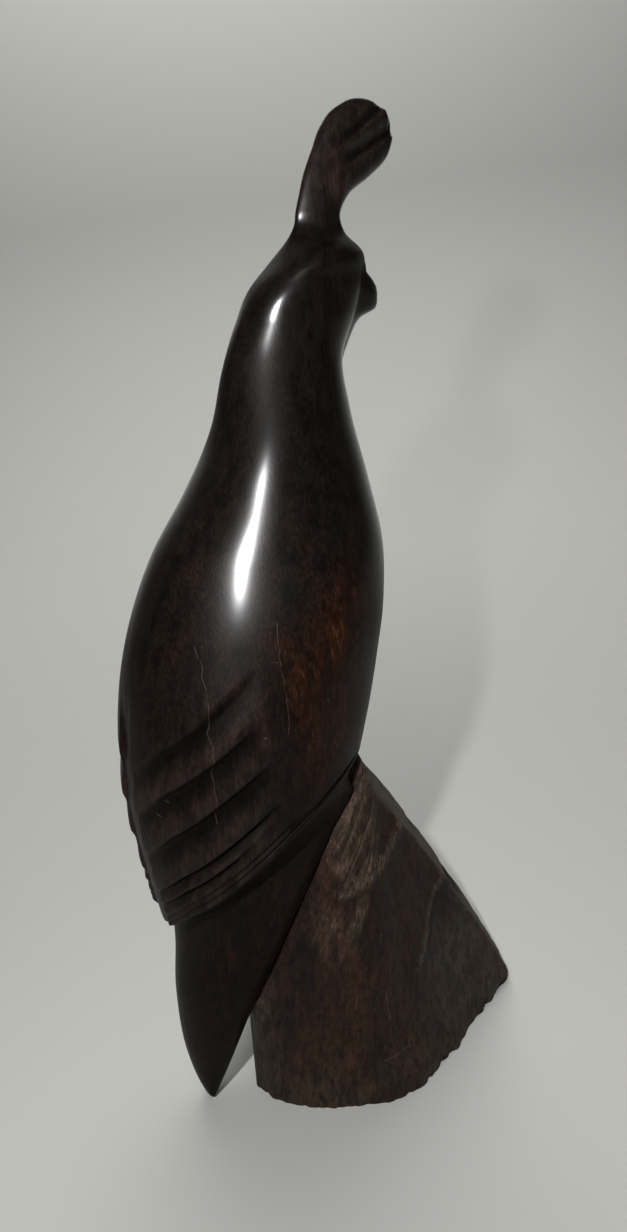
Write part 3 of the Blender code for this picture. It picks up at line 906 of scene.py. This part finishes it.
def hairline_group():
    """A thin line between two points: 1 on it, falling to 0 over its half width. The distance to
    the line is that to the nearest point between its ends."""
    group = bpy.data.node_groups.new("hairline", "ShaderNodeTree")
    for name in ("Vector", "Start", "End"):
        group.interface.new_socket(name, in_out="INPUT", socket_type="NodeSocketVector")
    group.interface.new_socket("Half Width", in_out="INPUT", socket_type="NodeSocketFloat")
    group.interface.new_socket("Line", in_out="OUTPUT", socket_type="NodeSocketFloat")
    t = NodeTree(group)
    given = t.add("NodeGroupInput").outputs
    out = t.add("NodeGroupOutput")
    away = t.vector("SUBTRACT", given["Vector"], given["Start"]).outputs["Vector"]
    run = t.vector("SUBTRACT", given["End"], given["Start"]).outputs["Vector"]
    travel = t.math("DIVIDE", t.vector("DOT_PRODUCT", away, run).outputs["Value"],
                    t.vector("DOT_PRODUCT", run, run).outputs["Value"], clamp=True)
    gap = t.vector("DISTANCE", away, t.scaled(run, travel)).outputs["Value"]
    share = t.math("DIVIDE", gap, given["Half Width"])
    t.put(out.inputs["Line"], t.ramp(share, 0.35, 1.0, 1.0, 0.0))
    return group


def hairlines(t, group, place, lines, half_width):
    """The greatest of the hairlines through rows of points seen from the side, on the near side
    only. Noise shifts the place, so that the lines wave."""
    wave = t.add("ShaderNodeTexNoise", Scale=260.0, Detail=3.0)
    t.put(wave.inputs["Vector"], place)
    bent = t.vector("MULTIPLY_ADD", wave.outputs["Color"], [CRACK_WAVE] * 3)
    t.put(bent.inputs[2], place)
    flat = t.vector("MULTIPLY", bent.outputs["Vector"], (1.0, 0.0, 1.0)).outputs["Vector"]
    shift = CRACK_WAVE / 2
    greatest = 0.0
    for line in lines:
        for (start_x, start_z), (end_x, end_z) in zip(line[:-1], line[1:]):
            node = t.add("ShaderNodeGroup")
            node.node_tree = group
            t.put(node.inputs["Vector"], flat)
            t.put(node.inputs["Start"], (start_x + shift, 0.0, start_z + shift))
            t.put(node.inputs["End"], (end_x + shift, 0.0, end_z + shift))
            node.inputs["Half Width"].default_value = half_width
            greatest = t.math("MAXIMUM", node.outputs["Line"], greatest)
    side = t.add("ShaderNodeSeparateXYZ")
    t.put(side.inputs["Vector"], place)
    worn = t.ramp(t.noise(t.stretched(place, (420.0, 420.0, 420.0)), 1.0), 0.36, 0.56, 0.35, 1.0)
    near = t.times(worn, t.math("LESS_THAN", side.outputs["Y"], 0.0))
    return t.times(greatest, near)


def grain(t, group, place):
    """The grain group placed in a material's tree."""
    node = t.add("ShaderNodeGroup")
    node.node_tree = group
    t.put(node.inputs["Vector"], place)
    return node.outputs


def polished_material(wood, group, line_group):
    """Near-black hardwood with reddish heartwood, polished and waxed to a gloss above, duller on the
    ribs and the tail, with two hairline cracks and a few pale specks. Painted shade darkens the rib and
    crest grooves and everything below the wing's edge. The rib lips are paler, partly as worn wood and
    partly as a painted highlight, and the crest is paler outside its grooves."""
    material, t, shader = new_material("polished_heartwood")
    place = t.add("ShaderNodeTexCoord").outputs["Object"]
    carved = t.attribute("carved")
    worn_lit_lips_and_pale_crest = t.attribute("worn_lit_lips_and_pale_crest")
    warmth = t.attribute("warmth")
    waxed = t.attribute("waxed")
    g = grain(t, group, place)

    red = t.times(t.ramp(g["Patches"], 0.30, 0.66, 0.15, 1.0), warmth)
    red = t.times(red, t.ramp(g["Streaks"], 0.28, 0.72, 0.35, 1.0))
    base = t.mix(red, colour(wood.dark), colour(wood.warm))
    # Paler rib lips, partly worn wood and partly a painted highlight where the lips stand up. The crest
    # above 281 mm, outside its grooves, is paler too.
    worn = t.times(worn_lit_lips_and_pale_crest, t.ramp(g["Streaks"], 0.3, 0.7, 0.45, 1.0))
    base = t.mix(worn, base, colour(wood.worn))
    fleck = t.times(t.ramp(g["Flecks"], 0.48, 0.72), t.math("ADD", red, 0.04))
    base = t.mix(t.times(fleck, 0.42), base, colour(wood.fleck))
    # Painted shade: the carved mask darkens the base colour to 0.35 in the rib and crest grooves, and
    # also below the wing's edge. The fibres vary it as well.
    shade = t.times(t.ramp(g["Fibres"], 0.30, 0.62, 0.5, 1.2), t.ramp(carved, 0.1, 1.0, 1.0, 0.35))
    mottle = t.stretched(place, (260.0, 260.0, 130.0), turn=(0.0, 0.3, 0.0))
    shade = t.times(shade, t.ramp(t.noise(mottle, 4.0, 0.65, 0.5), 0.34, 0.64, 0.62, 1.30))
    base = t.scaled(base, shade)
    cracks = hairlines(t, line_group, place, BODY_CRACKS, BODY_CRACK_HALF_WIDTH)
    specks = [((x, z), (x + SPECK_RUN[0], z + SPECK_RUN[1])) for x, z in BODY_SPECKS]
    specks = hairlines(t, line_group, place, specks, SPECK_HALF_WIDTH)
    cracks = t.math("MAXIMUM", cracks, specks)
    base = t.mix(t.times(cracks, 0.7), base, colour(BODY_CRACK_COLOUR))
    t.put(shader.inputs["Base Color"], base)

    rough = t.ramp(g["Streaks"], 0.2, 0.8, wood.polish - 0.05, wood.polish + 0.06)
    rough = t.math("ADD", rough, t.times(t.math("SUBTRACT", 1.0, waxed), 0.2))
    t.put(shader.inputs["Roughness"], rough)
    bump = t.add("ShaderNodeBump", Strength=0.20, Distance=0.0002)
    fine = t.math("ADD", g["Fibres"], t.times(g["Flecks"], 0.5))
    t.put(bump.inputs["Height"], t.math("SUBTRACT", fine, cracks))
    t.put(shader.inputs["Normal"], bump.outputs["Normal"])
    shader.inputs["Specular IOR Level"].default_value = 0.06
    wax = t.times(waxed, t.ramp(g["Streaks"], 0.2, 0.8, 0.8, 1.0))
    t.put(shader.inputs["Coat Weight"], wax)
    shader.inputs["Coat Roughness"].default_value = 0.16
    return material


def hewn_material(wood, group, line_group):
    """The same wood left rough from rasp and saw: matt, with warm upright fibres, paler scrapes, dull
    grey saw-cut faces and one crack. On the front face and toe the grey is also a painted reflection of
    the pale floor and backdrop."""
    material, t, shader = new_material("hewn_heartwood")
    place = t.add("ShaderNodeTexCoord").outputs["Object"]
    scraped = t.attribute("scraped")
    sawn_and_reflection = t.attribute("sawn_and_reflection")
    warmth = t.attribute("warmth")
    g = grain(t, group, place)

    hollows = t.times(t.ramp(g["Patches"], 0.40, 0.60), 0.9)
    base = t.mix(hollows, colour(wood.hewn), colour(wood.hewn_dark))
    rust = t.times(t.ramp(g["Streaks"], 0.42, 0.66), warmth)
    base = t.mix(t.times(rust, 0.45), base, colour(RUST_COLOUR))
    blotch = t.noise(t.stretched(place, (150.0, 150.0, 95.0), turn=(0.0, 0.6, 0.0)), 3.0, 0.6)
    # Dull grey: saw-cut wood, and on the front face and toe a painted reflection of the pale floor and
    # backdrop seen at a grazing angle.
    dull = t.times(sawn_and_reflection, t.ramp(blotch, 0.30, 0.62, 0.45, 1.0))
    base = t.mix(dull, base, colour(wood.sawn_and_reflection))
    rasp = t.noise(t.stretched(place, (1100.0, 300.0, 55.0), turn=(0.0, 0.57, 0.0)), 2.0, 0.55)
    pale = t.times(scraped, t.ramp(rasp, 0.38, 0.62, 0.15, 1.0))
    base = t.mix(pale, base, colour(wood.hewn_pale))
    mottle = t.noise(t.stretched(place, (520.0, 520.0, 190.0), turn=(0.0, 0.25, 0.0)), 4.0, 0.68, 0.6)
    shade = t.times(t.ramp(g["Fibres"], 0.32, 0.66, 0.66, 1.22), t.ramp(mottle, 0.33, 0.66, 0.45, 1.55))
    base = t.scaled(base, shade)
    cracks = hairlines(t, line_group, place, BLOCK_CRACKS, BLOCK_CRACK_HALF_WIDTH)
    base = t.mix(t.times(cracks, 0.6), base, colour(BLOCK_CRACK_COLOUR))
    t.put(shader.inputs["Base Color"], base)
    t.put(shader.inputs["Roughness"], t.ramp(g["Streaks"], 0.2, 0.8, 0.52, 0.68))
    height = t.math("ADD", t.times(rasp, t.math("ADD", scraped, 0.35)), g["Fibres"])
    height = t.math("ADD", height, t.times(t.math("ADD", blotch, mottle), 1.5))
    bump = t.add("ShaderNodeBump", Strength=0.75, Distance=0.0008)
    t.put(bump.inputs["Height"], t.math("SUBTRACT", height, t.times(cracks, 1.5)))
    t.put(shader.inputs["Normal"], bump.outputs["Normal"])
    shader.inputs["Specular IOR Level"].default_value = 0.20
    return material


def plain_material(name, tint, rough):
    """A matt stage surface."""
    material, _, shader = new_material(name)
    shader.inputs["Base Color"].default_value = colour(tint)
    shader.inputs["Roughness"].default_value = rough
    return material


def float_attribute(mesh, name, values):
    """Stores one value for each vertex."""
    layer = mesh.attributes.new(name, "FLOAT", "POINT")
    layer.data.foreach_set("value", values.astype(np.float32))


class QUAIL_OT_carving(bpy.types.Operator):
    """Carves the bird and its block as one closed skin, and gives it its two finishes."""

    bl_idname = "quail.carving"
    bl_label = "Carve the quail"

    def execute(self, context):
        bird = context.scene.quail_bird
        block = context.scene.quail_block
        wood = context.scene.quail_wood
        skin = new_object("bird_form", closed_mesh("bird_form", bird_rows(bird), 0))
        foot = new_object("block_form", closed_mesh("block_form", block_rows(block), 1))
        core = new_object("core_form", closed_mesh("core_form", core_rows(block), 1))
        group = grain_group()
        line_group = hairline_group()
        finishes = [polished_material(wood, group, line_group), hewn_material(wood, group, line_group)]
        for shape in (skin, foot, core):
            for finish in finishes:
                shape.data.materials.append(finish)
        grown = new_object("grown_block", united(foot, [core]))
        mesh = united(skin, [grown])
        mesh.name = "carved_quail"
        carving = new_object("carved_quail", mesh)
        self.paint(mesh, bird, block)

        mesh.shade_smooth()
        mesh.set_sharp_from_angle(angle=np.radians(45))
        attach(carving, "root")
        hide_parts(NODE)
        return {"FINISHED"}

    def paint(self, mesh, bird, block):
        """Masks for the finishes, from each point's place. How far it is carved: this darkens the
        grooves as painted shade, and it is also darker below the wing's edge. How pale its rib lips
        are, partly as worn wood and partly as a painted highlight, and how pale its crest is. How waxed
        and how warm in colour it is. On the block, how far scraped, and how far dull grey, partly as
        saw-cut wood and partly as a painted reflection."""
        points = np.empty(len(mesh.vertices) * 3)
        mesh.vertices.foreach_get("co", points)
        points = points.reshape(-1, 3) / SCALE
        x, y, z = points.T
        above = above_edge(points)
        wing = (above < WING_ZONE) * (above > -3.0)
        ribs = rib_depth(points, bird.rib_depth, bird.edge_incision) * SCALE / bird.rib_depth
        ribs = np.clip(ribs * wing, 0.0, 1.0)
        crest = crest_depth(points, bird.crest_depth) * SCALE / bird.crest_depth * (z > 280.0)
        crest = smooth(crest, 0.35, 1.0)
        # carved is the rib and crest groove depth, and 0.5 below the wing's edge. It darkens the
        # polished wood there as painted shade.
        float_attribute(mesh, "carved", np.maximum.reduce([ribs, 0.5 * (above < -2.0), 0.55 * crest]))
        # Paler wherever the wing is not grooved: worn rib lips, partly a painted highlight on them. The
        # crest above 281 mm, outside its grooves, is made paler as well.
        worn = (1 - ribs) * wing * (1 - smooth(x, -52.0, -36.0)) * (1 - smooth(above, 48.0, WING_ZONE))
        worn = np.maximum(worn, 0.75 * smooth(z, 281.0, 291.0) * (1 - crest))
        float_attribute(mesh, "worn_lit_lips_and_pale_crest", worn)
        waxed = (0.05 + 0.95 * smooth(z, 165.0, 208.0)) * (1 - 0.8 * ribs)
        neck = band(z, *NECK_DULL) * (1 - smooth(x + 0.27 * (250.0 - z), -10.0, -4.0))
        waxed = waxed * (1 - DULL_SHARE * neck) * (1 - DULL_SHARE * band(z, *HEAD_DULL))
        float_attribute(mesh, "waxed", waxed)

        chest = patch(x, z, WARM_CHEST)
        foot = patch(x, z, WARM_FOOT)
        faint = 0.05 + 0.16 * (1 - smooth(z, 185.0, 225.0)) + 0.18 * (above < -4.0) * (z < 110.0)
        edge = 1 - 0.85 * (above > -4.0) * (1 - smooth(above, 2.0, 9.0))
        float_attribute(mesh, "warmth", np.clip((faint + chest + foot) * edge, 0.0, 1.0))

        rasped = 0.9 * (1 - smooth(x - 0.15 * (z - 98.0), -7.0, -2.5))
        rasped = rasped * smooth(z - 0.413 * x, 88.6, 90.2) * smooth(x + 0.41 * z, 12.2, 14.2)
        sliver = patch(x - SLIVER_LEAN * (z - SLIVER_LEAN_Z), z, PALE_SLIVER, 4) * (y < 0)
        spot = 0.8 * patch(x, z, PALE_SPOT)
        # The tool marks' crests are paler and greyer: scraped wood, and partly a painted highlight
        # along the ridges.
        crests = smooth(tool_marks(x, y, z), 0.85, 1.05)
        near = np.maximum.reduce([rasped, sliver, spot]) * (y < 0)
        far = 0.8 * smooth(x - 0.5 * z, -48.0, -40.0) * smooth(z, 74.0, 80.0) * (y > 0)
        float_attribute(mesh, "scraped", np.clip(np.maximum.reduce([near, far, crests]), 0.0, 1.0))

        front, turn = front_line(np.clip(z, 0.0, RIDGE_Z), block)
        # The grey mask covers several places. The front face's strip and the toe stand for saw-cut wood
        # and a painted reflection of the pale floor at a grazing angle. The mask is also greyer towards
        # the bottom, at the heel, on the pale sliver and on the tool marks' crests.
        slope = smooth(x, front + turn * y - 1.0, front + turn * y - 0.3)
        toe = 0.75 * smooth(x, -2.0, 16.0) * (1 - smooth(z, 34.0, 58.0))
        low = 0.45 * (1 - smooth(z, 2.0, 26.0))
        heel = 0.6 * (1 - smooth(x, -52.0, -44.0))
        float_attribute(mesh, "sawn_and_reflection", np.maximum.reduce([slope, toe, low, heel, sliver, crests]))


# The camera's place and its three angles, as in the photograph
CAMERA_PLACE = Vector((-0.1265, -0.258, 0.270))
CAMERA_TURN = np.radians(25.0)
CAMERA_PITCH = np.radians(20.34)
CAMERA_ROLL = np.radians(7.50)

# Brightness of the room where a view looks past the floor
SEEN_SKY = 0.55


class QUAIL_OT_stage(bpy.types.Operator):
    """Lays the pale floor with its curved backdrop, and sets lights and camera."""

    bl_idname = "quail.stage"
    bl_label = "Set the stage"

    def execute(self, context):
        stage = context.scene.quail_stage
        self.lay_floor(stage)
        camera = self.set_camera(context, stage)
        self.set_lights(context, stage, camera)
        return {"FINISHED"}

    def lay_floor(self, stage):
        """A flat sheet that bends up in a quarter circle behind the carving."""
        half_width = 2.4
        near_edge = -2.4
        bend = 0.35
        wall_distance = 0.95
        wall_height = 2.2
        turn = np.linspace(0.0, np.pi / 2, 13)
        curve = wall_distance - bend + bend * np.sin(turn)
        depth = np.concatenate([[near_edge], curve, [wall_distance]])
        height = np.concatenate([[0.0], bend - bend * np.cos(turn), [wall_height]])
        side = np.array([-half_width, half_width])
        angle = -CAMERA_TURN
        forward = np.array([-np.sin(angle), np.cos(angle)])
        right = np.array([np.cos(angle), np.sin(angle)])
        plan = depth[:, None, None] * forward + side[None, :, None] * right
        tall = np.broadcast_to(height[:, None, None], plan.shape[:2] + (1,))
        points = np.concatenate([plan, tall], axis=2).reshape(-1, 3)
        row = np.arange(len(depth) - 1)
        faces = np.stack([row * 2, row * 2 + 1, row * 2 + 3, row * 2 + 2], axis=1)
        mesh = bpy.data.meshes.new("floor")
        mesh.from_pydata(points.tolist(), [], faces.tolist())
        mesh.shade_smooth()
        mesh.materials.append(plain_material("pale_board", stage.floor, 0.8))
        new_object("floor", mesh)

    def set_camera(self, context, stage):
        """The camera at the photograph's angle, pitched down and rolled."""
        forward = Vector((0.0, np.cos(CAMERA_PITCH), -np.sin(CAMERA_PITCH)))
        level = Vector((1.0, 0.0, 0.0))
        raised = level.cross(forward)
        right = level * np.cos(CAMERA_ROLL) - raised * np.sin(CAMERA_ROLL)
        up = level * np.sin(CAMERA_ROLL) + raised * np.cos(CAMERA_ROLL)
        facing = Matrix((right, up, -forward)).transposed()
        turned = Matrix.Rotation(-CAMERA_TURN, 3, "Z") @ facing
        data = bpy.data.cameras.new("camera")
        data.sensor_width = 36.0
        data.lens = stage.focal
        data.clip_start = 0.01
        camera = bpy.data.objects.new("camera", data)
        camera.matrix_world = Matrix.Translation(CAMERA_PLACE) @ turned.to_4x4()
        context.scene.collection.objects.link(camera)
        context.scene.camera = camera
        return camera

    def set_lights(self, context, stage, camera):
        """A small key light beside the camera, two soft lights that the polish doesn't mirror, one
        above and one on the backdrop, a soft light at the far side, and a dim room."""
        turned = camera.matrix_world.to_3x3()
        key_place = CAMERA_PLACE + turned @ Vector((-0.058, 0.066, 0.0))
        self.area(context, "key", key_place, Vector((-0.02, 0.0, 0.18)), 0.012, stage.key_power)
        top = self.area(context, "top soft", Vector((0.20, 0.42, 1.45)), Vector((0.0, 0.0, 0.0)), 1.3,
                        stage.top_power)
        wash = self.area(context, "wall wash", Vector((0.25, 0.53, 1.25)), Vector((0.42, 0.90, 0.62)),
                         0.8, stage.wash_power)
        for lamp in (top, wash):
            lamp.visible_glossy = False
        self.area(context, "side soft", Vector((0.95, 0.75, 0.42)), Vector((0.0, 0.0, 0.16)), 0.6,
                  stage.side_power)
        world = bpy.data.worlds.new("room")
        world.use_nodes = True
        t = NodeTree(world.node_tree)
        background = t.nodes["Background"]
        background.inputs["Color"].default_value = (1.0, 0.98, 0.94, 1.0)
        seen = t.add("ShaderNodeLightPath").outputs["Is Camera Ray"]
        t.put(background.inputs["Strength"], t.ramp(seen, 0.0, 1.0, stage.sky, SEEN_SKY))
        context.scene.world = world
        context.scene.view_settings.view_transform = "Standard"

    def area(self, context, name, place, target, size, power):
        """A square area light that faces its target."""
        data = bpy.data.lights.new(name, "AREA")
        data.size = size
        data.energy = power
        lamp = bpy.data.objects.new(name, data)
        lamp.location = place
        lamp.rotation_euler = (target - place).to_track_quat("-Z", "Y").to_euler()
        context.scene.collection.objects.link(lamp)
        return lamp


class QUAIL_PT_panel(bpy.types.Panel):
    """Lists the steps and the sizes in the sidebar."""

    bl_idname = "QUAIL_PT_panel"
    bl_label = "Quail"
    bl_space_type = "VIEW_3D"
    bl_region_type = "UI"
    bl_category = "Quail"

    def draw(self, context):
        for step in (QUAIL_OT_carving, QUAIL_OT_stage):
            self.layout.operator(step.bl_idname)
        for group in (
            context.scene.quail_bird, context.scene.quail_block,
            context.scene.quail_wood, context.scene.quail_stage,
        ):
            column = self.layout.column()
            for name in group.__annotations__:
                column.prop(group, name)


CLASSES = (
    BirdSettings, BlockSettings, WoodSettings, StageSettings,
    QUAIL_OT_carving, QUAIL_OT_stage, QUAIL_PT_panel,
)


def register():
    for made in CLASSES:
        bpy.utils.register_class(made)
    bpy.types.Scene.quail_bird = PointerProperty(type=BirdSettings)
    bpy.types.Scene.quail_block = PointerProperty(type=BlockSettings)
    bpy.types.Scene.quail_wood = PointerProperty(type=WoodSettings)
    bpy.types.Scene.quail_stage = PointerProperty(type=StageSettings)


def unregister():
    for name in ("quail_bird", "quail_block", "quail_wood", "quail_stage"):
        delattr(bpy.types.Scene, name)
    for made in reversed(CLASSES):
        bpy.utils.unregister_class(made)


def main():
    register()
    bpy.ops.quail.stage()
    bpy.ops.quail.carving()


if __name__ == "__main__":
    main()
